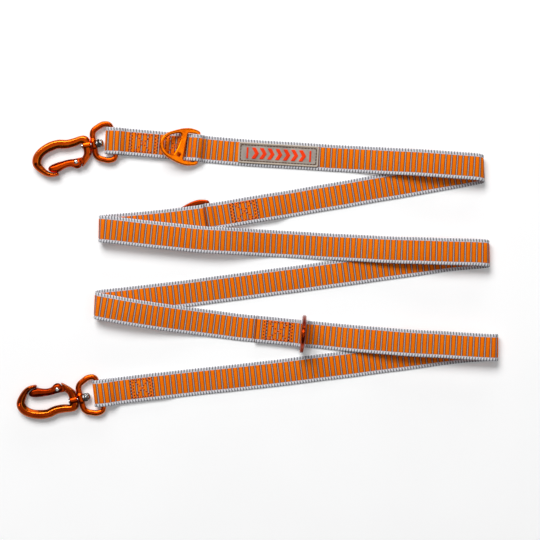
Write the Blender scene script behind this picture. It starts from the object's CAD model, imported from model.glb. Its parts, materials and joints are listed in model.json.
"""Detailed looks for a woven lead with two swivel hooks and three rings, around its CAD frame."""
import json
import math

import bpy
import numpy as np
from mathutils import Matrix, Vector
from mathutils.geometry import tessellate_polygon


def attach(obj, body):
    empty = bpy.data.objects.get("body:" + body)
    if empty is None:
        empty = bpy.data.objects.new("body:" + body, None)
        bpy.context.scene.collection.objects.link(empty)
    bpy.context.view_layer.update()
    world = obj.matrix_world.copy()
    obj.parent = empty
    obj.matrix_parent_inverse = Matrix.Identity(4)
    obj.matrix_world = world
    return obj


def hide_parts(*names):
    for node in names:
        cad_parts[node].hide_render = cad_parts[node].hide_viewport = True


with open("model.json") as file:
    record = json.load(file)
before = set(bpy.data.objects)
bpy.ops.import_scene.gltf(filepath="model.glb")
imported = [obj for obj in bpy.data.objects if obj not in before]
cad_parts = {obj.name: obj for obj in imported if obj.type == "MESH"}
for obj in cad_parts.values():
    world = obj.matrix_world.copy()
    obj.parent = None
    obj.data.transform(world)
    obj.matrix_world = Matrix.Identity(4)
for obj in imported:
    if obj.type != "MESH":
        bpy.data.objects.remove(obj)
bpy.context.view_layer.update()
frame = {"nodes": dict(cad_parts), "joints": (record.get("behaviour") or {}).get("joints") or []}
joints = {j["name"]: j for j in frame["joints"]}

MM = 0.001

# ------------ the webbing's route, in mm
# Heights and radii are those of the line through the middle of the webbing's thickness
LAYOUT_SHIFT = np.array([-1.03, -2.4, 0.0])
WEBBING_W, WEBBING_T, LAYER_GAP, FOLD_R = 25.0, 1.7, 0.1, 5.5
LOW_Z = WEBBING_T / 2
LAYER = WEBBING_T + LAYER_GAP
MID_Z = LOW_Z + LAYER
TOP_Z = MID_Z + LAYER
FOLD_TOP = LOW_Z + 2 * FOLD_R
RING_HALF, BAR_PLAY = 1.8, 0.2
WRAP_R = RING_HALF + BAR_PLAY + WEBBING_T / 2
OVER_R = WRAP_R + LAYER
BAR_Z = LOW_Z + WRAP_R
UNDER_BAR_Z = LOW_Z + OVER_R
FOOT_R, LANDING_R, LOOP_R = 7.0, 8.0, 3.75
OUTER_FOOT_R = FOOT_R - LAYER
EYE_Z = LOW_Z + LOOP_R
LOOP_TOP = LOW_Z + 2 * LOOP_R
SLOT_TOP, SLOT_R = 7.75, 3.0

# The middle line of each straight run in plan, where the folds' outsides lie, and where the
# rings' bars and the end loops are
BAND_1 = [(-150, 122.8), (-118, 121), (-82, 118), (-53, 115.3), (-15, 111.5), (87, 105.5),
          (133, 102.7), (220, 96.5)]
BAND_2 = [(-60, 48.6), (9, 60.3), (133, 81.5), (181, 90), (220, 97)]
BAND_3 = [(-151, 40.5), (-145, 41), (-111, 43.5), (-57, 49), (9, 60.3)]
BAND_4 = [(-150, 40.9), (-52, 30.5), (133, 20.5), (220, 18.2)]
BAND_5 = [(-156, -29.6), (-117, -25.5), (-52, -18), (133, 7), (184, 14.4), (220, 17.2)]
BAND_6 = [(-156, -29.5), (-103, -39), (-15, -51), (77.5, -60)]
BAND_7 = [(-15, -51), (77.5, -60), (133, -64.5), (230, -69.8)]
BAND_8 = [(-160, -113.9), (-89, -105), (3, -95.5), (133, -79), (193, -71), (230, -68.8)]
FOLD_X = (211, -146, 216, -150, 224)
RING_X = (-55, -43, 43)
LOOP_X = (-135.6, -146.5)
REACH = 12.0


def band_y(band, x):
    xs, ys = zip(*band)
    return np.interp(x, xs, ys)


def band_angle(band, x):
    """The band's angle in plan at x, over a reach to each side."""
    return np.arctan((band_y(band, x + REACH) - band_y(band, x - REACH)) / (2 * REACH))


def smooth_band_y(band, x):
    return np.mean([band_y(band, x + d) for d in np.linspace(-REACH, REACH, 13)], axis=0)


def ease(x0, z0, x1, z1, n=16):
    """A change of height that starts and ends level."""
    s = np.linspace(0, 1, n + 1)
    return [(x0 + (x1 - x0) * t, z0 + (z1 - z0) * t * t * (3 - 2 * t)) for t in s]


def arc(cx, cz, r, start, end, n=24):
    """An arc in the route's own upright plane, from one angle in degrees to the other."""
    return [(cx + r * math.cos(a), cz + r * math.sin(a))
            for a in np.radians(np.linspace(start, end, n + 1))]


def climb(cx, cz, side, r1, r2, level):
    """The rise from a level layer, round a foot of radius r2, to the crest over a bar, of r1."""
    dz = level + r2 - cz
    dx = math.sqrt((r1 + r2) ** 2 - dz * dz)
    t = math.degrees(math.atan2(dz, dx))
    foot = [(cx + side * x, z) for x, z in arc(dx, level + r2, r2, -90, t - 180, 12)]
    crest = arc(0, cz, r1, t, 90, 12)[1:]
    return foot + [(cx + side * x, z) for x, z in crest]


def dense(points, step=0.5):
    """The same polyline with no step longer than step in its plane."""
    out = [points[0]]
    for a, b in zip(points, points[1:]):
        n = max(1, math.ceil(math.dist(a[:3], b[:3]) / step))
        out += [[p + (q - p) * i / n for p, q in zip(a, b)] for i in range(1, n + 1)]
    return out


def on_band(band, points):
    """Route points (x, z) set on a band, as x, y, z and plan angle."""
    x, z = np.array(dense(points)).T
    return np.column_stack([x, smooth_band_y(band, x), z, band_angle(band, x)]).tolist()


def fold(k, side, start, end, turn):
    """The half turn from one band to the next, upwards or downwards."""
    cx = FOLD_X[k] - side * (FOLD_R + LOW_Z)
    y0, y1 = smooth_band_y(start, cx), smooth_band_y(end, cx)
    a0, a1 = band_angle(start, cx), band_angle(end, cx)
    out = []
    for s in np.arange(41) / 40:
        a = turn * math.radians(90 - 180 * s)
        out.append([cx + side * FOLD_R * math.cos(a), y0 + (y1 - y0) * s,
                    LOW_Z + FOLD_R + FOLD_R * math.sin(a), a0 + (a1 - a0) * s])
    return out


def upper_route():
    r1, r2 = RING_X[0], RING_X[1]
    first = ([(-118, MID_Z), (-90, MID_Z)]
             + climb(r1, BAR_Z, -1, WRAP_R, FOOT_R, MID_Z)
             + arc(r1, BAR_Z, WRAP_R, 75, -90)
             + [(-70, LOW_Z), (-118, LOW_Z)]
             + arc(LOOP_X[0], EYE_Z, LOOP_R, -90, -270)
             + ease(-127.5, LOOP_TOP, -119.5, TOP_Z)
             + [(-90, TOP_Z)]
             + climb(r1, BAR_Z, -1, OVER_R, OUTER_FOOT_R, TOP_Z)
             + climb(r1, BAR_Z, 1, OVER_R, LANDING_R, LOW_Z)[::-1]
             + [(-15, LOW_Z), (60, LOW_Z)]
             + ease(80, LOW_Z, 180, FOLD_TOP))
    second = ([(181, LOW_Z), (80, LOW_Z)]
              + ease(32, LOW_Z, 13, TOP_Z)
              + [(-15, TOP_Z)]
              + climb(r2, UNDER_BAR_Z, 1, WRAP_R, FOOT_R, TOP_Z)
              + arc(r2, UNDER_BAR_Z, WRAP_R, 105, 270)
              + [(-25, MID_Z), (9, MID_Z)])
    return on_band(BAND_1, first) + fold(0, 1, BAND_1, BAND_2, 1) + on_band(BAND_2, second)


def middle_route():
    r2, r3 = RING_X[1], RING_X[2]
    dz = SLOT_TOP - SLOT_R - UNDER_BAR_Z
    dx = math.sqrt((OVER_R + SLOT_R) ** 2 - dz * dz)
    a = math.degrees(math.atan2(dz, dx))
    first = ([(7, LOW_Z), (-25, LOW_Z)]
             + [(r2 - x, z) for x, z in arc(0, UNDER_BAR_Z, OVER_R, -90, a)]
             + [(r2 - x, z) for x, z in arc(dx, SLOT_TOP - SLOT_R, SLOT_R, 165 + a, 90)]
             + ease(r2 - 14, SLOT_TOP, -116, LOW_Z))
    second = (ease(-130, FOLD_TOP, -46, 10.7, 8)
              + ease(-42, 10.6, 25, LOW_Z)
              + ease(50, 1.2, 180, FOLD_TOP))
    last = (ease(-134, FOLD_TOP, -25, LOW_Z)
            + [(0, LOW_Z), (30, LOW_Z)]
            + arc(r3, BAR_Z, WRAP_R, -90, 75)
            + climb(r3, BAR_Z, -1, WRAP_R, FOOT_R, MID_Z)[::-1]
            + [(18, MID_Z), (0.5, MID_Z)])
    return (on_band(BAND_3, first) + fold(1, -1, BAND_3, BAND_4, -1)
            + on_band(BAND_4, second) + fold(2, 1, BAND_4, BAND_5, 1)
            + on_band(BAND_5, [(184, LOW_Z), (-117, LOW_Z)]) + fold(3, -1, BAND_5, BAND_6, -1)
            + on_band(BAND_6, last))


def lower_route():
    r3 = RING_X[2]
    first = ([(-1, TOP_Z), (18, TOP_Z)]
             + climb(r3, BAR_Z, -1, OVER_R, OUTER_FOOT_R, TOP_Z)
             + climb(r3, BAR_Z, 1, OVER_R, LANDING_R, LOW_Z)[::-1]
             + ease(58, LOW_Z, 150, FOLD_TOP)
             + [(185, FOLD_TOP)])
    second = ([(193, LOW_Z), (-50, LOW_Z)]
              + ease(-72, LOW_Z, -89, MID_Z, 8)
              + [(-110, MID_Z)]
              + ease(-127, MID_Z, -139, LOOP_TOP)
              + arc(LOOP_X[1], EYE_Z, LOOP_R, 90, 270)
              + [(-120, LOW_Z), (-92, LOW_Z)])
    return on_band(BAND_7, first) + fold(4, 1, BAND_7, BAND_8, 1) + on_band(BAND_8, second)


def gaussian(values, sigma):
    """values smoothed along their length, with both ends kept where they are."""
    reach = int(4 * sigma)
    kernel = np.exp(-0.5 * (np.arange(-reach, reach + 1) / sigma) ** 2)
    ahead = 2 * values[0] - values[reach:0:-1]
    after = 2 * values[-1] - values[-2:-reach - 2:-1]
    return np.convolve(np.concatenate([ahead, values, after]), kernel / kernel.sum(), "valid")


def smooth_route(route):
    """The route at even steps, its corners rounded: lengths, points and plan angles."""
    step = 0.25
    p = np.array(dense(route)) + np.append(LAYOUT_SHIFT, 0)
    s = np.concatenate([[0], np.cumsum(np.linalg.norm(np.diff(p[:, :3], axis=0), axis=1))])
    even = np.linspace(0, s[-1], int(s[-1] / step))
    x, y, z, a = (np.interp(even, s, column) for column in p.T)
    sharp, wide = 0.6 / step, 5 / step
    p = np.column_stack([gaussian(x, sharp), gaussian(y, wide), gaussian(z, sharp)])
    s = np.concatenate([[0], np.cumsum(np.linalg.norm(np.diff(p, axis=0), axis=1))])
    return s, p, gaussian(a, wide)


# ------------ mesh helpers
def scene_object(name, data):
    obj = bpy.data.objects.new(name, data)
    bpy.context.scene.collection.objects.link(obj)
    return obj


def make(name, points, faces, material, lay, sharp=None, weighted=False):
    """A mesh object from points in mm in the shared frame; lay is a vector for the shader."""
    mesh = bpy.data.meshes.new(name)
    mesh.from_pydata((np.asarray(points, float) * MM).tolist(), [], faces)
    mesh.validate()
    mesh.attributes.new("lay", "FLOAT_VECTOR", "POINT").data.foreach_set(
        "vector", np.asarray(lay, np.float32).ravel())
    mesh.shade_smooth()
    if sharp:
        mesh.set_sharp_from_angle(angle=math.radians(sharp))
    mesh.materials.append(material)
    obj = scene_object(name, mesh)
    if weighted:
        obj.modifiers.new("weighted normals", "WEIGHTED_NORMAL").keep_sharp = True
    return obj


def finish_piece(obj, body, node):
    """Says which body a piece rides on, and the CAD node that it replaces."""
    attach(obj, body)
    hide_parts(node)


def moved(points, matrix):
    """points in mm carried by a matrix whose translation is in mm."""
    points = np.asarray(points, float)
    m = np.array(matrix)
    return points @ m[:3, :3].T + m[:3, 3]


class Builder:
    """Collects shells of points and faces, each with a shader vector per point."""

    def __init__(self):
        self.points, self.faces, self.lay = [], [], []

    def add(self, points, faces, lay=None):
        start = len(self.points)
        self.points += [tuple(p) for p in points]
        self.faces += [tuple(start + i for i in f) for f in faces]
        self.lay += [tuple(p) for p in lay] if lay is not None else [(0, 0, 0)] * len(points)

    def object(self, name, material, matrix, **options):
        return make(name, moved(self.points, matrix), self.faces, material, self.lay, **options)


def tube_faces(rows, columns, closed_rows=False):
    """Faces of a tube of rows x columns points; its rows are rings. An open tube is capped."""
    faces = []
    for i in range(rows if closed_rows else rows - 1):
        a, b = i * columns, (i + 1) % rows * columns
        faces += [(a + k, a + (k + 1) % columns, b + (k + 1) % columns, b + k)
                  for k in range(columns)]
    if not closed_rows:
        last = (rows - 1) * columns
        faces.append(tuple(range(columns - 1, -1, -1)))
        faces.append(tuple(last + k for k in range(columns)))
    return faces


def outward(points, faces):
    """The faces, turned over if they enclose a negative volume."""
    p, volume = np.asarray(points, float), 0.0
    for f in faces:
        for i in range(1, len(f) - 1):
            volume += np.dot(p[f[0]], np.cross(p[f[i]], p[f[i + 1]]))
    return faces if volume > 0 else [tuple(reversed(f)) for f in faces]


def curve(points, n, closed=False):
    """Catmull-Rom curve through points, n steps to each span."""
    p = np.asarray(points, float)
    m = len(p)
    out = []
    for i in range(m if closed else m - 1):
        if closed:
            a, b, c, d = (p[(i + k) % m] for k in (-1, 0, 1, 2))
        else:
            b, c = p[i], p[i + 1]
            a = p[i - 1] if i else 2 * b - c
            d = p[i + 2] if i + 2 < m else 2 * c - b
        for t in np.arange(n) / n:
            out.append(0.5 * (2 * b + (c - a) * t + (2 * a - 5 * b + 4 * c - d) * t * t
                              + (3 * b - a - 3 * c + d) * t ** 3))
    if not closed:
        out.append(p[-1])
    return np.array(out)


def rounded_corners(corners, radii, n=6):
    """A closed polygon with each corner replaced by an arc."""
    out, m = [], len(corners)
    for i, (b, r) in enumerate(zip(np.asarray(corners, float), radii)):
        a, c = np.asarray(corners[i - 1], float), np.asarray(corners[(i + 1) % m], float)
        u, v = (a - b) / np.linalg.norm(a - b), (c - b) / np.linalg.norm(c - b)
        half = math.acos(np.clip(u @ v, -1, 1)) / 2
        centre = b + (u + v) / np.linalg.norm(u + v) * r / math.sin(half)
        start, end = b + u * r / math.tan(half) - centre, b + v * r / math.tan(half) - centre
        a0 = math.atan2(start[1], start[0])
        turn = (math.atan2(end[1], end[0]) - a0 + math.pi) % (2 * math.pi) - math.pi
        out += [centre + r * np.array([math.cos(a0 + turn * k / n), math.sin(a0 + turn * k / n)])
                for k in range(n + 1)]
    return np.array(out)


def loop_normals(loop):
    """Unit directions to the left of a closed loop's way, lengthened at its corners."""
    ahead = np.roll(loop, -1, axis=0) - loop
    ahead /= np.linalg.norm(ahead, axis=1)[:, None]
    behind = np.roll(ahead, 1, axis=0)
    left = np.column_stack([-(ahead + behind)[:, 1], (ahead + behind)[:, 0]])
    left /= np.linalg.norm(left, axis=1)[:, None]
    across = np.column_stack([-ahead[:, 1], ahead[:, 0]])
    return left / np.maximum((left * across).sum(axis=1), 0.6)[:, None]


def anticlockwise(loop):
    x, y = loop.T
    area = (x * np.roll(y, -1) - y * np.roll(x, -1)).sum()
    return loop if area > 0 else loop[::-1]


def plate(builder, outline, holes, edge, both=True, shares=(1, 1, 1, 1)):
    """A flat plate. edge lists (inset, height) from the wall's middle or foot up to the flat. both
    mirrors it below, or else the plate stands on its first height. shares scales the insets of
    the outline and of each hole."""
    loops = [anticlockwise(np.asarray(outline))] + [
        anticlockwise(np.asarray(h))[::-1] for h in holes]
    levels = [(i, -h) for i, h in reversed(edge)] + list(edge) if both else list(edge)
    points, faces, starts = [], [], []
    for loop, share in zip(loops, shares):
        normal = loop_normals(loop) * share
        start, n = len(points), len(loop)
        starts.append((start, n))
        for inset, height in levels:
            points += [(x, y, height) for x, y in loop + normal * inset]
        for i in range(len(levels) - 1):
            a, b = start + i * n, start + (i + 1) * n
            faces += [(a + k, a + (k + 1) % n, b + (k + 1) % n, b + k) for k in range(n)]
    last = len(levels) - 1
    top = [[Vector((*points[start + last * n + k][:2], 0)) for k in range(n)]
           for start, n in starts]
    up = [start + last * n + k for start, n in starts for k in range(n)]
    down = [start + k for start, n in starts for k in range(n)]
    for triangle in tessellate_polygon(top):
        a, b, c = (points[up[i]] for i in triangle)
        turn = (b[0] - a[0]) * (c[1] - a[1]) - (b[1] - a[1]) * (c[0] - a[0])
        left = triangle if turn > 0 else triangle[::-1]
        faces.append(tuple(up[i] for i in left))
        faces.append(tuple(down[i] for i in reversed(left)))
    builder.add(points, faces)


def round_edge(half, radius, n=5):
    """Insets and heights of a rounded edge, from the wall up."""
    out = [(0.0, half - radius)]
    for a in np.radians(np.linspace(90 / n, 90, n)):
        out.append((radius * (1 - math.cos(a)), half - radius + radius * math.sin(a)))
    return out


def circle(centre, r, n):
    return [(centre[0] + r * math.cos(a), centre[1] + r * math.sin(a))
            for a in np.linspace(0, 2 * math.pi, n + 1)[:-1]]


def lathe(builder, profile, sides):
    """A turned shape about X. profile lists (x, radius, how far it is a hexagon, from 0 to 1)."""
    points = []
    for x, r, hexagon in profile:
        for k in range(sides):
            a = 2 * math.pi * k / sides
            flat = math.cos(math.pi / 6) / math.cos((a + math.pi / 6) % (math.pi / 3) - math.pi / 6)
            rr = r * (1 + hexagon * (flat - 1))
            points.append((x, rr * math.cos(a), rr * math.sin(a)))
    faces = tube_faces(len(profile), sides)
    builder.add(points, outward(points, faces))


# ------------ materials
class Nodes:
    """A material's node tree, with short calls for the nodes that repeat."""

    def __init__(self, name):
        self.material = bpy.data.materials.new(name)
        self.material.use_nodes = True
        self.tree = self.material.node_tree
        self.shader = self.tree.nodes["Principled BSDF"]

    def link(self, value, socket):
        if isinstance(value, bpy.types.NodeSocket):
            self.tree.links.new(value, socket)
        else:
            socket.default_value = value

    def math(self, operation, a, b=0.0):
        node = self.tree.nodes.new("ShaderNodeMath")
        node.operation = operation
        self.link(a, node.inputs[0])
        self.link(b, node.inputs[1])
        return node.outputs[0]

    def plus(self, a, b):
        return self.math("ADD", a, b)

    def minus(self, a, b):
        return self.math("SUBTRACT", a, b)

    def times(self, a, b):
        return self.math("MULTIPLY", a, b)

    def size(self, a):
        return self.math("ABSOLUTE", a)

    def ramp(self, value, low, high, start=0.0, end=1.0):
        """start up to low, end from high on, and a smooth step between them."""
        node = self.tree.nodes.new("ShaderNodeMapRange")
        node.interpolation_type = "SMOOTHSTEP"
        for socket, v in zip(node.inputs, (value, low, high, start, end)):
            self.link(v, socket)
        return node.outputs[0]

    def mix(self, factor, a, b):
        node = self.tree.nodes.new("ShaderNodeMix")
        node.data_type = "RGBA"
        self.link(factor, node.inputs[0])
        self.link(a, node.inputs[6])
        self.link(b, node.inputs[7])
        return node.outputs[2]

    def noise(self, vector, scale, detail=3.0, rough=0.55):
        node = self.tree.nodes.new("ShaderNodeTexNoise")
        self.link(vector, node.inputs["Vector"])
        node.inputs["Scale"].default_value = scale
        node.inputs["Detail"].default_value = detail
        node.inputs["Roughness"].default_value = rough
        return node.outputs["Fac"]

    def place(self):
        return self.tree.nodes.new("ShaderNodeTexCoord").outputs["Object"]

    def lay(self):
        """The three parts of the shader vector that the mesh carries."""
        node = self.tree.nodes.new("ShaderNodeAttribute")
        node.attribute_name = "lay"
        split = self.tree.nodes.new("ShaderNodeSeparateXYZ")
        self.link(node.outputs["Vector"], split.inputs[0])
        return split.outputs

    def plane(self, x, y, x_scale, y_scale):
        """A vector of two values, each times its scale."""
        node = self.tree.nodes.new("ShaderNodeCombineXYZ")
        for socket, value, scale in zip(node.inputs, (x, y), (x_scale, y_scale)):
            self.link(self.times(value, scale), socket)
        return node.outputs[0]

    def bump(self, height, distance, strength=1.0):
        node = self.tree.nodes.new("ShaderNodeBump")
        node.inputs["Distance"].default_value = distance
        node.inputs["Strength"].default_value = strength
        self.link(height, node.inputs["Height"])
        self.link(node.outputs[0], self.shader.inputs["Normal"])

    def set(self, **values):
        names = {"color": "Base Color", "metallic": "Metallic", "rough": "Roughness",
                 "specular": "Specular IOR Level"}
        for key, value in values.items():
            self.link(value, self.shader.inputs[names[key]])
        return self.material


# The ribs' spacing, and where the ribbed field ends and the selvedge starts, in mm
PITCH = 5.3
BORDER = 9.25


def webbing_material():
    """The lay vector is the place along and across the webbing in mm, and 1 at a sealed end."""
    n = Nodes("woven webbing")
    along, across, sealed = n.lay()
    phase = n.math("FRACT", n.math("DIVIDE", along, PITCH))
    off = n.size(n.minus(phase, 0.5))
    side = n.size(across)
    rib = n.ramp(off, 0.358, 0.378, 1.0, 0.0)
    seam = n.ramp(n.size(n.minus(off, 0.362)), 0.022, 0.09, 1.0, 0.0)
    border = n.ramp(side, BORDER - 0.12, BORDER + 0.12)
    # floating yarns lie over the ribs, side by side across the webbing
    yarn_width, cord_twist = 0.62, 0.8
    wobble = n.noise(n.plane(along, across, 0.15, 0.4), 1.0, 2.0)
    wobbly = n.plus(across, n.times(wobble, 0.25))
    yarn = n.math("SINE", n.times(wobbly, 2 * math.pi / yarn_width))
    patchy = n.noise(n.plane(along, across, 0.5, 2.6), 1.0)
    faded = n.noise(n.plane(along, across, 0.02, 0.05), 1.0, 2.0)
    orange = n.mix(n.ramp(patchy, 0.3, 0.72), (0.86, 0.145, 0.0, 1), (1.0, 0.212, 0.0, 1))
    orange = n.mix(n.ramp(faded, 0.35, 0.7, 0.0, 0.35), orange, (1.0, 0.245, 0.006, 1))
    orange = n.mix(n.ramp(yarn, -1.0, -0.55, 0.42, 0.0), orange, (0.30, 0.035, 0.001, 1))
    # grey cords lie in the grooves, with a dark seam where each meets its rib
    cord = n.math("SINE", n.times(n.plus(across, along), 2 * math.pi / cord_twist))
    grey = n.mix(n.ramp(cord, -1.0, 0.4), (0.20, 0.17, 0.17, 1), (0.52, 0.47, 0.48, 1))
    orange = n.mix(n.ramp(off, 0.19, 0.37, 0.0, 0.6), orange, (0.46, 0.048, 0.0, 1))
    body = n.mix(rib, grey, orange)
    body = n.mix(n.times(seam, 0.9), body, (0.12, 0.018, 0.004, 1))
    # the selvedge: pale bundles with a dark gap twice in each rib
    slant = n.plus(n.math("DIVIDE", along, PITCH / 2), n.times(side, 0.06))
    cell = n.size(n.minus(n.math("FRACT", slant), 0.5))
    tick = n.times(n.ramp(cell, 0.08, 0.24, 1.0, 0.0), n.ramp(side, BORDER + 0.05, BORDER + 0.95))
    tick = n.times(tick, n.ramp(patchy, 0.2, 0.45, 0.6, 1.0))
    fibre = n.noise(n.plane(along, across, 3.0, 1.2), 1.0)
    pale = n.mix(n.ramp(fibre, 0.3, 0.7), (0.48, 0.48, 0.51, 1), (0.82, 0.82, 0.86, 1))
    edge = n.mix(tick, pale, (0.085, 0.08, 0.085, 1))
    inner = n.ramp(n.size(n.minus(side, BORDER)), 0.1, 0.3, 0.55, 0.0)
    edge = n.mix(inner, edge, (0.10, 0.05, 0.05, 1))
    color = n.mix(border, body, edge)
    color = n.mix(n.ramp(sealed, 0.2, 0.9, 0.0, 0.85), color, (0.09, 0.03, 0.015, 1))
    thread = n.times(yarn, n.times(rib, n.minus(1.0, border)))
    weft = n.times(cord, n.minus(1.0, rib))
    height = n.plus(n.times(n.plus(thread, weft), 0.5), n.plus(fibre, n.times(tick, -1.0)))
    n.bump(height, 0.00009, 0.8)
    return n.set(color=color, rough=n.ramp(patchy, 0.2, 0.8, 0.95, 0.72), specular=0.05)


def thread_material(name, dark, light):
    """Twisted thread, darker by the lay vector's first part: its dives and its needle holes."""
    n = Nodes(name)
    place = n.place()
    node = n.tree.nodes.new("ShaderNodeTexWave")
    n.link(place, node.inputs["Vector"])
    node.bands_direction = "DIAGONAL"
    node.inputs["Scale"].default_value = 900
    node.inputs["Distortion"].default_value = 1.5
    shade = n.mix(n.ramp(node.outputs["Fac"], 0.1, 0.7), dark, light)
    shade = n.mix(n.ramp(n.noise(place, 260, 2.0), 0.35, 0.7, 0.0, 0.5), shade, dark)
    shade = n.mix(n.ramp(n.lay()[0], 0.25, 0.9), shade, (0.07, 0.008, 0.002, 1))
    n.bump(node.outputs["Fac"], 0.00006)
    return n.set(color=shade, rough=0.7, specular=0.08)


def rubber_material(name, dark, light, rim, rough):
    """Matt moulded rubber, with its own colour where the lay vector's first part is 1."""
    n = Nodes(name)
    place = n.place()
    fine, broad = n.noise(place, 3200, 2.0), n.noise(place, 140, 3.0)
    n.bump(n.plus(fine, n.times(broad, 0.4)), 0.00007)
    color = n.mix(n.ramp(broad, 0.3, 0.7), dark, light)
    color = n.mix(n.ramp(fine, 0.55, 0.75, 0.0, 0.3), color, light)
    color = n.mix(n.lay()[0], color, rim)
    return n.set(color=color, rough=n.ramp(fine, 0.3, 0.7, rough - 0.08, rough + 0.1),
                 specular=0.12)


def anodised_material(name, deep, bright, edge, rough):
    """Blasted and dyed aluminium: fine grain, clouded dye, paler metal where edges rub and a
    darker shade in recesses, by the lay vector's first and second parts."""
    n = Nodes(name)
    place = n.place()
    grain, cloud = n.noise(place, 5200, 2.0), n.noise(place, 90, 4.0)
    rub = n.noise(place, 700, 4.0, 0.7)
    corner, recess, _ = n.lay()
    color = n.mix(n.ramp(cloud, 0.3, 0.7), deep, bright)
    color = n.mix(n.times(recess, 0.85), color, (0.10, 0.008, 0.001, 1))
    color = n.mix(n.times(n.ramp(corner, 0.3, 0.9), n.ramp(rub, 0.42, 0.62, 0.4, 0.85)),
                  color, edge)
    n.bump(grain, 0.00002, 0.5)
    scuff = n.ramp(n.noise(place, 320, 5.0, 0.75), 0.5, 0.72, 0.0, 0.12)
    return n.set(color=color, metallic=1.0,
                 rough=n.plus(n.ramp(grain, 0.3, 0.7, rough - 0.04, rough + 0.06), scuff))


def steel_material(name, dark, light, rough):
    n = Nodes(name)
    place = n.place()
    brushed = n.noise(place, 1800, 4.0, 0.7)
    n.bump(brushed, 0.000012, 0.5)
    return n.set(color=n.mix(n.ramp(brushed, 0.3, 0.7), dark, light), metallic=1.0,
                 rough=n.ramp(n.noise(place, 420, 4.0), 0.3, 0.75, rough - 0.05, rough + 0.12))


WEBBING = webbing_material()
THREAD = thread_material("orange thread", (0.70, 0.11, 0.02, 1), (1.0, 0.22, 0.055, 1))
PATCH_THREAD = thread_material("brown thread", (0.05, 0.021, 0.009, 1), (0.15, 0.068, 0.028, 1))
PATCH_RUBBER = rubber_material("beige rubber", (0.29, 0.25, 0.22, 1), (0.42, 0.37, 0.32, 1),
                               (0.52, 0.43, 0.34, 1), 0.6)
EMBLEM_RUBBER = rubber_material("red-orange rubber", (0.80, 0.030, 0.0, 1), (0.98, 0.048, 0.0, 1),
                                (0.98, 0.048, 0.0, 1), 0.5)
RING_ALLOY = anodised_material("bright anodised alloy", (0.78, 0.125, 0.001, 1),
                               (1.0, 0.21, 0.002, 1), (1.0, 0.40, 0.02, 1), 0.24)
DARK_RING_ALLOY = anodised_material("dark anodised alloy", (0.25, 0.019, 0.001, 1),
                                    (0.36, 0.032, 0.001, 1), (1.0, 0.30, 0.03, 1), 0.2)
HOOK_ALLOY = anodised_material("deep anodised alloy", (0.41, 0.034, 0.001, 1),
                               (0.57, 0.062, 0.002, 1), (1.0, 0.28, 0.018, 1), 0.2)
HOOK_B_ALLOY = anodised_material("shaded anodised alloy", (0.23, 0.016, 0.001, 1),
                                 (0.35, 0.030, 0.001, 1), (0.95, 0.25, 0.015, 1), 0.2)
STEEL = steel_material("polished steel", (0.50, 0.49, 0.48, 1), (0.72, 0.71, 0.69, 1), 0.14)
PIN_STEEL = steel_material("dark steel", (0.30, 0.30, 0.30, 1), (0.66, 0.65, 0.63, 1), 0.08)
SPRING = steel_material("spring steel", (0.22, 0.22, 0.23, 1), (0.42, 0.42, 0.43, 1), 0.3)


# ------------ webbing
# Where the stations of one rib lie, and how far the rib stands up there
RIB = ((0.0, 0.0), (0.08, 0.0), (0.15, 0.35), (0.21, 0.8), (0.32, 0.97), (0.5, 1.0),
       (0.68, 0.97), (0.79, 0.8), (0.85, 0.35), (0.92, 0.0))
# Across one half of the webbing: place, height in a groove, extra on a rib, extra on a bundle
HALF_SECTION = ((8.5, 0.56, 0.26, 0.0), (9.05, 0.54, 0.10, 0.0), (9.45, 0.52, 0.0, 0.02),
                (10.4, 0.73, 0.0, 0.09), (11.4, 0.74, 0.0, 0.10), (12.15, 0.56, 0.0, 0.08))
EDGE_PLACE, EDGE_BUNDLE = 12.42, 0.1
SEALED_LENGTH = 1.0


def webbing(name, route, node):
    """One woven length along its route, rib by rib. Returns its object and its length in mm."""
    lengths, path, angles = smooth_route(route)
    total = lengths[-1]
    stations = [((k + p) * PITCH, p, r) for k in range(int(total / PITCH) + 1) for p, r in RIB]
    stations = [s for s in stations if s[0] < total - 0.3]
    stations.append((total, (total / PITCH) % 1, 0.3))
    at, phase, rib = np.array(stations).T
    centre = np.column_stack([np.interp(at, lengths, c) for c in path.T])
    turn = np.interp(at, lengths, angles)
    tangents = np.gradient(path, axis=0)
    tangent = np.column_stack([np.interp(at, lengths, c) for c in tangents.T])
    wide = np.column_stack([-np.sin(turn), np.cos(turn), np.zeros(len(at))])
    normal = np.cross(tangent, wide)
    normal /= np.linalg.norm(normal, axis=1)[:, None]
    bundle = np.cos(4 * math.pi * phase)
    # the edges waver sideways by a tenth of a millimetre or so
    waver = 0.10 * np.sin(at * 0.041 + 1.3) + 0.07 * np.sin(at * 0.113)
    columns = [(v, h + up * rib + out * bundle) for v, h, up, out in HALF_SECTION]
    columns = [(-v, h) for v, h in columns[::-1]] + columns
    rim = EDGE_PLACE + EDGE_BUNDLE * bundle
    section = [(v + waver, h) for v, h in columns] + [(rim + waver, 0 * at)]
    section += [(v + waver, -h) for v, h in columns[::-1]] + [(waver - rim, 0 * at)]
    rings = np.stack([centre + wide * np.broadcast_to(v, at.shape)[:, None] + normal * h[:, None]
                      for v, h in section], axis=1)
    sealed = ((at < SEALED_LENGTH) | (at > total - SEALED_LENGTH)).astype(float)
    lay = np.stack([np.column_stack([at, np.broadcast_to(v - waver, at.shape), sealed])
                    for v, h in section], axis=1)
    rows, count = rings.shape[:2]
    faces = [tuple(reversed(f)) for f in tube_faces(rows, count)]
    obj = make(name, rings.reshape(-1, 3), faces, WEBBING, lay.reshape(-1, 3))
    finish_piece(obj, "leash", node)
    return obj, total


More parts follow.
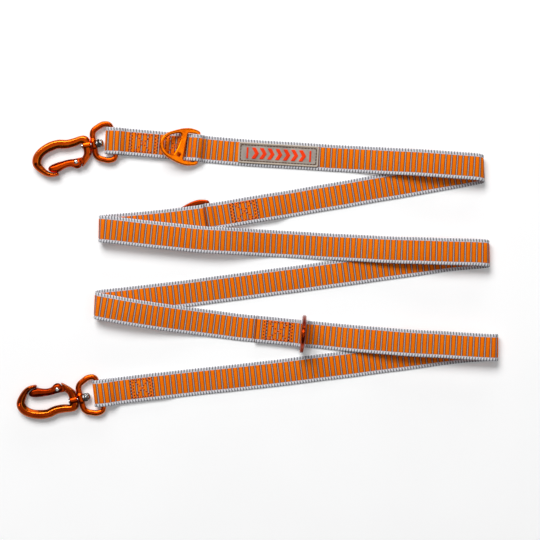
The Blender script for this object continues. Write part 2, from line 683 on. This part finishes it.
# ------------ stitches
STITCH_STATIONS = (-1.0, -0.9, -0.6, 0.0, 0.6, 0.9, 1.0)
EIGHTHS = np.radians(np.arange(0, 360, 45))
TACK_REACH, BOX_REACH = 8.2, 8.0


def stitch(builder, x, y, z, length, angle, wide=0.34, high=0.3):
    """One laid thread: it rises from its needle hole, runs flat and dives again."""
    c, s = math.cos(angle), math.sin(angle)
    points, lay = [], []
    for t in STITCH_STATIONS:
        swell = (1 - t ** 6) ** 0.5 if abs(t) < 1 else 0.35
        along = t * length / 2
        for a in EIGHTHS:
            across = wide * swell * math.cos(a)
            up = high * (0.5 * swell * math.sin(a) + 0.5 * swell - 0.5)
            points.append((x + c * along - s * across, y + s * along + c * across, z + up))
            lay.append((abs(t) ** 8, 0, 0))
    faces = tube_faces(len(STITCH_STATIONS), len(EIGHTHS))
    builder.add(points, outward(points, faces), lay)


def needle_hole(builder, x, y, z):
    """The pressed-in yarns round a needle hole, as a low dark disc."""
    r = 0.68
    points = [(x + r * q * math.cos(a), y + r * q * math.sin(a), z + h)
              for q, h in ((1.0, -0.3), (0.8, 0.06), (0.3, 0.07)) for a in EIGHTHS]
    faces = tube_faces(3, len(EIGHTHS))
    builder.add(points, outward(points, faces), [(1, 0, 0)] * len(points))


def bar_tack(builder, x, z):
    """A dense zigzag row across the webbing."""
    for i, y in enumerate(np.linspace(-TACK_REACH, TACK_REACH, 12)):
        stitch(builder, x, y, z, 2.2, math.radians(24 if i % 2 else -24), 0.3)
        for side in (-1, 1):
            needle_hole(builder, x + side * 1.05, y + side * (0.45 if i % 2 else -0.45), z)


def cross_box(builder, x, length, z):
    """Two crossed rows of stitches between the dense rows, and a row along each long side."""
    count = 8
    tilt = math.atan2(2 * BOX_REACH, length)
    step = math.hypot(length, 2 * BOX_REACH) / count
    for side in (-1, 1):
        for i in range(count):
            s = (i + 0.5) / count - 0.5
            stitch(builder, x + s * length, side * s * 2 * BOX_REACH, z,
                   step * 0.8, side * tilt, 0.42)
            s = (i + 1) / count - 0.5
            needle_hole(builder, x + s * length, side * s * 2 * BOX_REACH, z)
        for i in range(6):
            stitch(builder, x + ((i + 0.5) / 6 - 0.5) * length, side * BOX_REACH, z,
                   length / 6 * 0.8, 0, 0.4)
            needle_hole(builder, x + (i / 6 - 0.5) * length, side * BOX_REACH, z)


def on_layer(band, x, z):
    """The frame of a spot on a band, with X along the webbing."""
    angle = math.atan((band_y(band, x + 1) - band_y(band, x - 1)) / 2)
    spot = LAYOUT_SHIFT + np.array([x, band_y(band, x), z])
    return Matrix.Translation(spot.tolist()) @ Matrix.Rotation(angle, 4, "Z")


def stitching(name, band, x, z, tacks, box):
    """A sewn joint: its bar tacks, and its crossed box as (centre, length)."""
    builder = Builder()
    for t in tacks:
        bar_tack(builder, t, 0)
    cross_box(builder, *box, 0)
    obj = builder.object(name + "_threads", THREAD, on_layer(band, x, z))
    finish_piece(obj, "leash", name)


# ------------ patch
PATCH_X, PATCH_L, PATCH_W, PATCH_T = 20.5, 74.5, 19.0, 0.9
RIM_WIDTH, SEAM_INSET, SEAM_Z = 1.2, 2.2, 0.98
CHEVRON = np.array([(-3.2, -5.2), (0.6, -5.2), (3.8, 0), (0.6, 5.2), (-3.2, 5.2), (0.1, 0)])
CHEVRON_PITCH, END_BAR_X = 7.3, 29.2


def rounded_rectangle(length, width, r, n=6):
    x, y = length / 2, width / 2
    return rounded_corners([(x, -y), (x, y), (-x, y), (-x, -y)], [r] * 4, n)


def patch():
    where = on_layer(BAND_1, PATCH_X, 2 * LOW_Z)
    # inset and height from the patch's foot, over its rim and down into the sewn groove
    profile = ((0, -0.05), (0, 1.02), (0.12, 1.26), (0.38, 1.38), (0.7, 1.4), (0.98, 1.33),
               (1.15, 1.12), (1.25, 0.93), (1.7, 0.9), (1.88, 0.82), (2.05, 0.7), (2.35, 0.7),
               (2.52, 0.82), (2.7, 0.9))
    rings = [[(x, y, h) for x, y in rounded_rectangle(PATCH_L - 2 * i, PATCH_W - 2 * i,
                                                      max(1.8 - i, 0.5))] for i, h in profile]
    points = [p for ring in rings for p in ring]
    rim = [(1 if i < RIM_WIDTH else 0, 0, 0) for i, _ in profile for _ in rings[0]]
    base = Builder()
    base.add(points, outward(points, tube_faces(len(rings), len(rings[0]))), rim)
    obj = base.object("patch_rubber_base", PATCH_RUBBER, where, sharp=50, weighted=True)
    finish_piece(obj, "leash", "patch_base")

    emblem = Builder()
    edge = [(0, -0.05), (0, 0.38), (0.1, 0.52), (0.3, 0.6)]
    for i in range(-3, 4):
        chevron = CHEVRON + (i * CHEVRON_PITCH, 0)
        plate(emblem, rounded_corners(chevron, [0.45] * len(CHEVRON), 3), [], edge, both=False)
    for side in (-1, 1):
        end_bar = rounded_rectangle(1.7, 10.4, 0.5, 3) + (side * END_BAR_X + 0.35, 0)
        plate(emblem, end_bar, [], edge, both=False)
    obj = emblem.object("patch_emblem_relief", EMBLEM_RUBBER,
                        where @ Matrix.Translation((0, 0, PATCH_T)), sharp=50, weighted=True)
    finish_piece(obj, "leash", "patch_emblem")

    seam = Builder()
    long_run, short_run = PATCH_L - 2 * SEAM_INSET, PATCH_W - 2 * SEAM_INSET
    thread = {"wide": 0.42, "high": 0.34}
    for side in (-1, 1):
        for i in range(24):
            stitch(seam, ((i + 0.5) / 24 - 0.5) * long_run, side * short_run / 2, SEAM_Z,
                   2.6, 0, **thread)
        for i in range(5):
            stitch(seam, side * long_run / 2, ((i + 0.5) / 5 - 0.5) * short_run, SEAM_Z,
                   2.5, math.pi / 2, **thread)
    obj = seam.object("patch_seam", PATCH_THREAD, where)
    finish_piece(obj, "leash", "patch_stitching")


# ------------ rings
# In the ring's own plane: X from the bar to the point, and the bar along Y
RING_TILTS, RING_HEADINGS = (20, -5.3, 90), (174.5, 189.5, 174.5)
RING_SIDE = [(-1.8, 13.6), (-0.9, 15.2), (1.2, 16.3), (5, 17.1), (9, 17.4), (15.4, 16.4),
             (23, 13.8), (29.7, 10.6), (34.3, 6.2)]
RING_POINT = (36.2, 0)
RING_SLOT = [(1.8, -13), (10.4, -12.6), (12.9, 12.6), (1.8, 13)]
RING_WINDOW = [(17.2, -11.4), (25, -9.6), (30.2, -6.3), (32.5, -1), (31.4, 3.8), (28.1, 7),
               (24, 8.5), (21.6, 7.3), (19.2, 2.6), (16.7, -6.4)]
RING_HOLE, RING_HOLE_R = (17.2, 8.2), 1.85


def ring(i):
    """The ring of that place: an outline with a window, a slot for the webbing and a hole."""
    body = f"ring_{i + 1}"
    outline = ([(x, -y) for x, y in RING_SIDE] + [RING_POINT] + RING_SIDE[::-1]
               + [(-RING_HALF, 8), (-RING_HALF, 0), (-RING_HALF, -8)])
    slot = rounded_corners(RING_SLOT, [1.6, 1.4, 1.4, 1.6], 5)
    hole = circle(RING_HOLE, RING_HOLE_R, 28)
    builder = Builder()
    edge = round_edge(RING_HALF, 1.25, 6)
    plate(builder, curve(outline, 6, closed=True),
          [curve(RING_WINDOW, 6, closed=True), slot, hole], edge, shares=(1, 1, 0.8, 0.3))
    spot = Vector(joints[body + "_swing"]["pos_m"]) / MM
    where = (Matrix.Translation(spot) @ Matrix.Rotation(math.radians(RING_HEADINGS[i]), 4, "Z")
             @ Matrix.Rotation(math.radians(-RING_TILTS[i]), 4, "Y"))
    alloy = RING_ALLOY if i == 0 else DARK_RING_ALLOY
    obj = builder.object(body + "_cast", alloy, where, sharp=60, weighted=True)
    finish_piece(obj, body, body)


# ------------ swivel eyes and hooks
EYE_LEN = 18.2
EYE_CORNERS = [(0, -16.7), (7.5, -17), (18.2, -12.4), (18.2, 12.4), (7.5, 17), (0, 16.7)]
EYE_RADII = [4, 8, 7, 7, 8, 4]
# The eye's wire at its back bar, what it gains towards the pin, and its boss round the pin
EYE_WIRE, EYE_EXTRA_WIDE, EYE_EXTRA_THICK = 2.32, 0.33, 0.13
EYE_FULL_X, EYE_BOSS_HALF, EYE_BOSS_HEIGHT = 7.5, 4.4, 1.05


def hook_frame(end):
    """The hook's own frame, in mm: its swivel's place and axis, and its gate's axis, at rest."""
    x = Vector(joints[f"swivel_{end}_spin"]["axis"]).normalized()
    z = Vector(joints[f"gate_{end}_hinge"]["axis"]).normalized()
    y = z.cross(x)
    m = Matrix((x, y, z)).transposed().to_4x4()
    m.translation = Vector(joints[f"swivel_{end}_spin"]["pos_m"]) / MM
    return m


def eye(end, where):
    """The swivel eye: a bent wire, thicker where the pin goes through it."""
    path = rounded_corners(EYE_CORNERS, EYE_RADII, 8)
    path = np.array(dense([*path.tolist(), path[0].tolist()], 0.8))[:-1]
    normal = -loop_normals(path)
    normal /= np.linalg.norm(normal, axis=1)[:, None]
    sides, points, lay = 24, [], []
    for (x, y), out in zip(path, normal):
        forward = np.clip(x / EYE_FULL_X, 0, 1)
        full = forward * forward * (3 - 2 * forward)
        wide = EYE_WIRE + EYE_EXTRA_WIDE * full
        boss = max(0.0, 1 - (abs(y) / EYE_BOSS_HALF) ** 4) if x > 2 * EYE_FULL_X else 0.0
        thick = EYE_WIRE + EYE_EXTRA_THICK * full + EYE_BOSS_HEIGHT * boss ** 0.5
        for k in range(sides):
            a = 2 * math.pi * k / sides
            # a rounded bar with its broad sides a little flattened
            ca, sa = math.cos(a), math.sin(a)
            soft = (abs(ca) ** 2.6 + abs(sa) ** 2.6) ** (-1 / 2.6)
            points.append((x - EYE_LEN + out[0] * wide * ca * soft, y + out[1] * wide * ca * soft,
                           thick * sa * soft))
            lay.append((abs(math.sin(2 * a)) ** 6, 0, 0))
    builder = Builder()
    faces = tube_faces(len(path), sides, closed_rows=True)
    builder.add(points, outward(points, faces), lay)
    obj = builder.object(f"eye_{end}_forged", HOOK_ALLOY, where)
    finish_piece(obj, f"eye_{end}", f"eye_{end}")


# Pairs of points on the hook's outer and inner sides, from the rivet's arm round to the nose
HOOK_LADDER = [
    ((13.3, -18.8), (14.0, -17.5)), ((12.3, -18.0), (13.0, -15.6)), ((11.0, -16.9), (12.5, -13.6)),
    ((9.2, -15.2), (12.6, -11.4)), ((7.2, -13.2), (12.2, -9.7)), ((5.4, -11.2), (11.0, -8.2)),
    ((3.7, -8.8), (10.3, -6.4)), ((2.8, -6.2), (10.1, -4.4)), ((2.8, -2.6), (10.1, -2.0)),
    ((2.8, 1.0), (10.2, 0.4)), ((3.0, 4.6), (10.6, 1.9)), ((4.7, 7.8), (11.5, 2.6)),
    ((8.0, 9.5), (12.6, 2.4)), ((12, 9.5), (14.2, 1.8)), ((15.5, 8.9), (16.8, 1.1)),
    ((20, 8.3), (20.8, 0.6)), ((24.5, 8.2), (25.2, 0.4)), ((28, 8.9), (29.3, 0.9)),
    ((31.5, 9.5), (33.2, 1.6)), ((38, 9.1), (37.4, 0.9)), ((45, 7.1), (42, -0.3)),
    ((51.5, 3.7), (46.2, -2.2)), ((56, -0.4), (49.2, -4.8)), ((58.5, -5.2), (50.9, -7.9)),
    ((58.7, -10), (51.0, -10)), ((56.6, -14.4), (49.8, -12.3)), ((51.7, -19.5), (47.4, -15.8)),
    ((47.2, -22.4), (44.7, -18.5)), ((43.2, -23.5), (42.2, -19.7)), ((40.2, -23.5), (40.0, -20.15)),
    ((37.9, -23.3), (37.8, -20.2)), ((36.5, -22.8), (36.5, -20.8)),
]
# The bar's section, from the inner side outwards over the top: a broad flat between a wide inner
# bevel and a narrower outer one. Each entry is (place across, height), as shares of their halves,
# then how far its edge rubs bare, and its share in a groove down the flat
BAR_SECTION = [(-1.0, 0.0, 0, 0), (-1.0, 0.30, 0, 0), (-0.97, 0.40, 1, 0),
               (-0.90, 0.50, 0.5, 0), (-0.42, 0.93, 0.5, 0), (-0.34, 0.98, 1, 0),
               (-0.22, 1.0, 0.4, 0), (-0.08, 1.0, 0.3, 0), (0.03, 1.0, 0, 1), (0.42, 1.0, 0, 1),
               (0.48, 1.0, 0.5, 0), (0.56, 0.98, 1, 0), (0.64, 0.93, 0.5, 0),
               (0.93, 0.60, 0.5, 0), (0.98, 0.52, 1, 0), (1.0, 0.42, 0, 0), (1.0, 0.0, 0, 0)]


def bar(builder, outer, inner, thick, groove):
    """A bar lofted through BAR_SECTION from its sides, half thicknesses and groove's depths."""
    ring = BAR_SECTION + [(a, -h, rub, g) for a, h, rub, g in BAR_SECTION[-2:0:-1]]
    points, lay = [], []
    for o, i, t, deep in zip(outer, inner, thick, groove):
        middle, half = (o + i) / 2, (o - i) / 2
        for a, h, rub, g in ring:
            points.append((*(middle + half * a), h * (t - g * deep)))
            lay.append((rub, g * min(1, deep), 0))
    faces = tube_faces(len(outer), len(ring))
    builder.add(points, outward(points, faces), lay)


def darkened(builder, low, high, depth, shade):
    """Shades the points in a range of x and y that are within depth of the middle."""
    builder.lay = [(0, shade, 0) if low[0] < x < high[0] and low[1] < y < high[1]
                   and abs(z) < depth else lay
                   for (x, y, z), lay in zip(builder.points, builder.lay)]


RIVET = (18.7, -13.7)
LUG_HALF, LUG_R, GATE_SLOT_HALF = 1.4, 3.4, 1.65
KNOB, KNOB_R = (38.3, -21.8), 1.2
HOOK_ALLOYS = {"a": HOOK_ALLOY, "b": HOOK_B_ALLOY}


def hook(end, where):
    """The hook's body: a bent bar, a boss round the pin, a knob on the nose, the gate's lug."""
    outer = curve([p for p, _ in HOOK_LADDER], 5)
    inner = curve([p for _, p in HOOK_LADDER], 5)
    s = np.linspace(0, 1, len(outer))
    thick = np.interp(s, [0, 0.06, 0.2, 0.3, 0.4, 0.7, 0.85, 0.94, 1],
                      [2.9, 3.5, 3.9, 3.9, 3.85, 3.8, 3.6, 3.3, 2.6])
    groove = np.interp(s, [0.758, 0.778, 0.875, 0.892], [0, 1.1, 1.1, 0])
    builder = Builder()
    bar(builder, outer, inner, thick, groove)
    # the dye looks darker where the nose meets the gate
    darkened(builder, (36, -21.2), (46.5, -16.5), 3.2, 0.85)
    lathe(builder, [(2.8, 0.02, 0), (2.8, 3.9, 0), (3.4, 4.6, 0), (9.2, 4.6, 0), (10.0, 3.9, 0),
                    (10.0, 0.02, 0)], 40)
    plate(builder, circle(KNOB, KNOB_R, 24), [], round_edge(3.6, 0.9, 4))
    lug = [(9.8, -9.9), (18.2, -10.3), (18.7, -10.3)]
    lug += [(RIVET[0] + LUG_R * math.cos(a), RIVET[1] + LUG_R * math.sin(a))
            for a in np.radians(np.linspace(80, -80, 17))]
    lug += [(18.7, -17.1), (17.5, -17.0), (11.3, -15.8)]
    plate(builder, lug, [], round_edge(LUG_HALF, 0.3, 2))
    obj = builder.object(f"hook_{end}_forged", HOOK_ALLOYS[end], where, sharp=50, weighted=True)
    finish_piece(obj, f"hook_{end}", f"hook_body_{end}")


# The gate's stations along the hook: place, inner side, outer side, half thickness
GATE_STATIONS = [(13.9, -13.2, -15.4, 2.4), (14.2, -12.3, -16.4, 2.9), (14.9, -11.4, -17.6, 3.3),
                 (16.0, -10.6, -18.7, 3.5), (17.4, -10.2, -19.3, 3.5), (19.0, -10.1, -19.4, 3.5),
                 (20.6, -10.1, -18.9, 3.5), (22.3, -10.1, -17.8, 3.5), (24.2, -10.15, -17.0, 3.45),
                 (26.5, -10.2, -16.9, 3.4), (29, -10.4, -17.2, 3.4), (31.5, -10.75, -18.0, 3.45),
                 (34, -10.9, -19.0, 3.5), (36.5, -11.3, -19.95, 3.5), (39, -11.75, -20.05, 3.5),
                 (41, -12.25, -19.7, 3.45), (42.8, -12.9, -19.0, 3.3), (44.3, -13.8, -18.1, 2.9),
                 (45.2, -14.9, -17.2, 2.2)]


def cut(obj, tool_builder, where):
    """Takes a tool shape out of obj for good."""
    tool = tool_builder.object("tool", HOOK_ALLOY, where)
    modifier = obj.modifiers.new("cut", "BOOLEAN")
    modifier.operation, modifier.solver, modifier.object = "DIFFERENCE", "EXACT", tool
    graph = bpy.context.evaluated_depsgraph_get()
    mesh = bpy.data.meshes.new_from_object(obj.evaluated_get(graph))
    obj.modifiers.remove(modifier)
    obj.data = mesh
    bpy.data.objects.remove(tool)


def box_tool(low, high):
    (x0, y0, z0), (x1, y1, z1) = low, high
    points = [(x, y, z) for x in (x0, x1) for y in (y0, y1) for z in (z0, z1)]
    builder = Builder()
    faces = [(0, 1, 3, 2), (4, 6, 7, 5), (0, 4, 5, 1), (2, 3, 7, 6), (0, 2, 6, 4), (1, 5, 7, 3)]
    builder.add(points, outward(points, faces))
    return builder


def gate(end, where):
    """The gate: a bar from its forked end on the rivet to the tip that meets the nose."""
    stations = curve(GATE_STATIONS, 4)
    inner, outer = stations[:, [0, 1]], stations[:, [0, 2]]
    builder = Builder()
    bar(builder, outer, inner, stations[:, 3], np.zeros(len(outer)))
    # the dye looks darker where the tip meets the nose
    darkened(builder, (35, -24), (50, -17.6), 3.3, 0.8)
    obj = builder.object(f"gate_{end}_forged", HOOK_ALLOYS[end], where)
    cut(obj, box_tool((10, -24, -GATE_SLOT_HALF), (22.6, -4, GATE_SLOT_HALF)), where)
    obj.data.set_sharp_from_angle(angle=math.radians(40))
    obj.modifiers.new("weighted normals", "WEIGHTED_NORMAL").keep_sharp = True
    finish_piece(obj, f"gate_{end}", f"gate_{end}")


def rivet(end, where):
    builder = Builder()
    half = [(3.95, 0.02, 0), (3.93, 0.6, 0), (3.85, 1.2, 0), (3.7, 1.65, 0), (3.5, 1.85, 0),
            (3.4, 1.75, 0)]
    lathe(builder, [(-x, r, h) for x, r, h in half] + half[::-1], 32)
    turn = Matrix.Translation((*RIVET, 0)) @ Matrix.Rotation(math.radians(-90), 4, "Y")
    obj = builder.object(f"gate_rivet_{end}_turned", STEEL, where @ turn, sharp=40)
    finish_piece(obj, f"gate_{end}", f"gate_rivet_{end}")


def swivel(end, where):
    """The pin, with a domed head over a hexagon, its shaft and a riveted tip; and its washer."""
    builder = Builder()
    lathe(builder, [(-9.3, 0.02, 0), (-9.26, 1.0, 0), (-9.0, 2.0, 0), (-8.5, 2.85, 0),
                    (-7.8, 3.45, 0), (-7.2, 3.7, 0), (-7.0, 3.35, 0), (-6.7, 3.3, 0),
                    (-6.5, 3.7, 0.5), (-6.2, 4.2, 1), (-5.9, 4.4, 1), (-4.2, 4.4, 1),
                    (-3.9, 4.2, 1), (-3.6, 3.5, 0.4), (-3.4, 3.4, 0), (-3.3, 2.0, 0),
                    (10.3, 2.0, 0), (10.4, 2.6, 0), (10.9, 2.6, 0), (11.0, 2.15, 0),
                    (11.3, 2.1, 0), (11.6, 1.6, 0), (11.8, 0.8, 0), (11.85, 0.02, 0)], 48)
    obj = builder.object(f"swivel_pin_{end}_turned", PIN_STEEL, where, sharp=40)
    finish_piece(obj, f"hook_{end}", f"swivel_pin_{end}")
    builder = Builder()
    lathe(builder, [(-3.3, 2.1, 0), (-3.3, 3.9, 0), (-3.2, 4.1, 0), (-2.9, 4.1, 0), (-2.8, 3.9, 0),
                    (-2.8, 2.1, 0)], 40)
    obj = builder.object(f"swivel_washer_{end}_turned", SPRING, where, sharp=40)
    finish_piece(obj, f"hook_{end}", f"swivel_washer_{end}")


# ------------ building everything
sheets = [webbing(f"{name}_woven", route(), name)
          for name, route in (("webbing_upper", upper_route), ("webbing_middle", middle_route),
                              ("webbing_lower", lower_route))]

TOP, MIDDLE = TOP_Z + LOW_Z, MID_Z + LOW_Z
stitching("stitching_end_a", BAND_1, -102, TOP, (-14.5, 9.5), (-3, 15))
stitching("stitching_ring_1", BAND_1, -78, TOP, (-7, 12), (2.5, 15))
stitching("stitching_ring_2", BAND_2, -11, TOP, (-11, 11), (0, 18))
stitching("stitching_ring_3", BAND_7, 20, TOP, (-12, 12), (0, 20))
stitching("stitching_end_b", BAND_8, -103, MIDDLE, (-12, 6), (-3, 14))
patch()
for index in range(3):
    ring(index)
for end in ("a", "b"):
    base = hook_frame(end)
    eye(end, base)
    swivel(end, base)
    hook(end, base)
    gate(end, base)
    rivet(end, base)
    for node in (f"gate_spring_{end}", f"gate_plunger_{end}"):
        cad = frame["nodes"][node]
        cad.data.materials.clear()
        cad.data.materials.append(SPRING if "spring" in node else STEEL)


# ------------ floor, lights and camera
FLOOR_HALF = 4


def floor():
    n = Nodes("pale floor")
    mottle = n.ramp(n.noise(n.place(), 6, 3.0), 0.3, 0.7)
    n.set(color=n.mix(mottle, (0.93, 0.93, 0.93, 1), (0.95, 0.95, 0.95, 1)),
          rough=0.9, specular=0.2)
    n.shader.inputs["Emission Color"].default_value = (1, 1, 1, 1)
    n.shader.inputs["Emission Strength"].default_value = 0.1
    mesh = bpy.data.meshes.new("floor")
    mesh.from_pydata([(x * FLOOR_HALF, y * FLOOR_HALF, 0)
                      for x, y in ((-1, -1), (1, -1), (1, 1), (-1, 1))], [], [(0, 1, 2, 3)])
    mesh.materials.append(n.material)
    scene_object("floor", mesh)


def softbox(name, place, size, power):
    """A soft panel at place, turned to the object."""
    light = bpy.data.lights.new(name, "AREA")
    light.shape, light.size, light.size_y = "RECTANGLE", *size
    light.energy = power
    obj = scene_object(name, light)
    obj.location = place
    obj.rotation_mode = "QUATERNION"
    obj.rotation_quaternion = (-Vector(place)).to_track_quat("-Z", "Y")
    obj.visible_camera = False


def studio():
    world = bpy.data.worlds.new("studio")
    world.use_nodes = True
    background = world.node_tree.nodes["Background"].inputs
    background["Color"].default_value = (0.95, 0.97, 1, 1)
    background["Strength"].default_value = 0.07
    scene = bpy.context.scene
    scene.world = world
    scene.view_settings.view_transform = "Standard"
    softbox("ceiling", (0.0, -0.2, 3.0), (2.1, 2.1), 10.5)
    softbox("key", (-0.9, 2.1, 2.7), (2.2, 1.7), 126)
    softbox("rim", (0.5, 2.6, 0.6), (2.2, 0.6), 14)
    softbox("side", (2.2, 0.1, 2.7), (1.3, 1.6), 9)


def camera():
    """Straight down on the zigzag: the frame is view wide at the webbing's height."""
    view, distance, height, sensor = 0.5, 1.4, 0.006, 36
    aim_x, aim_y = 0.01166, -0.00008
    data = bpy.data.cameras.new("camera")
    data.sensor_width = sensor
    data.lens = sensor * distance / view
    obj = scene_object("camera", data)
    obj.location = (aim_x, aim_y, height + distance)
    bpy.context.scene.camera = obj


floor()
studio()
camera()
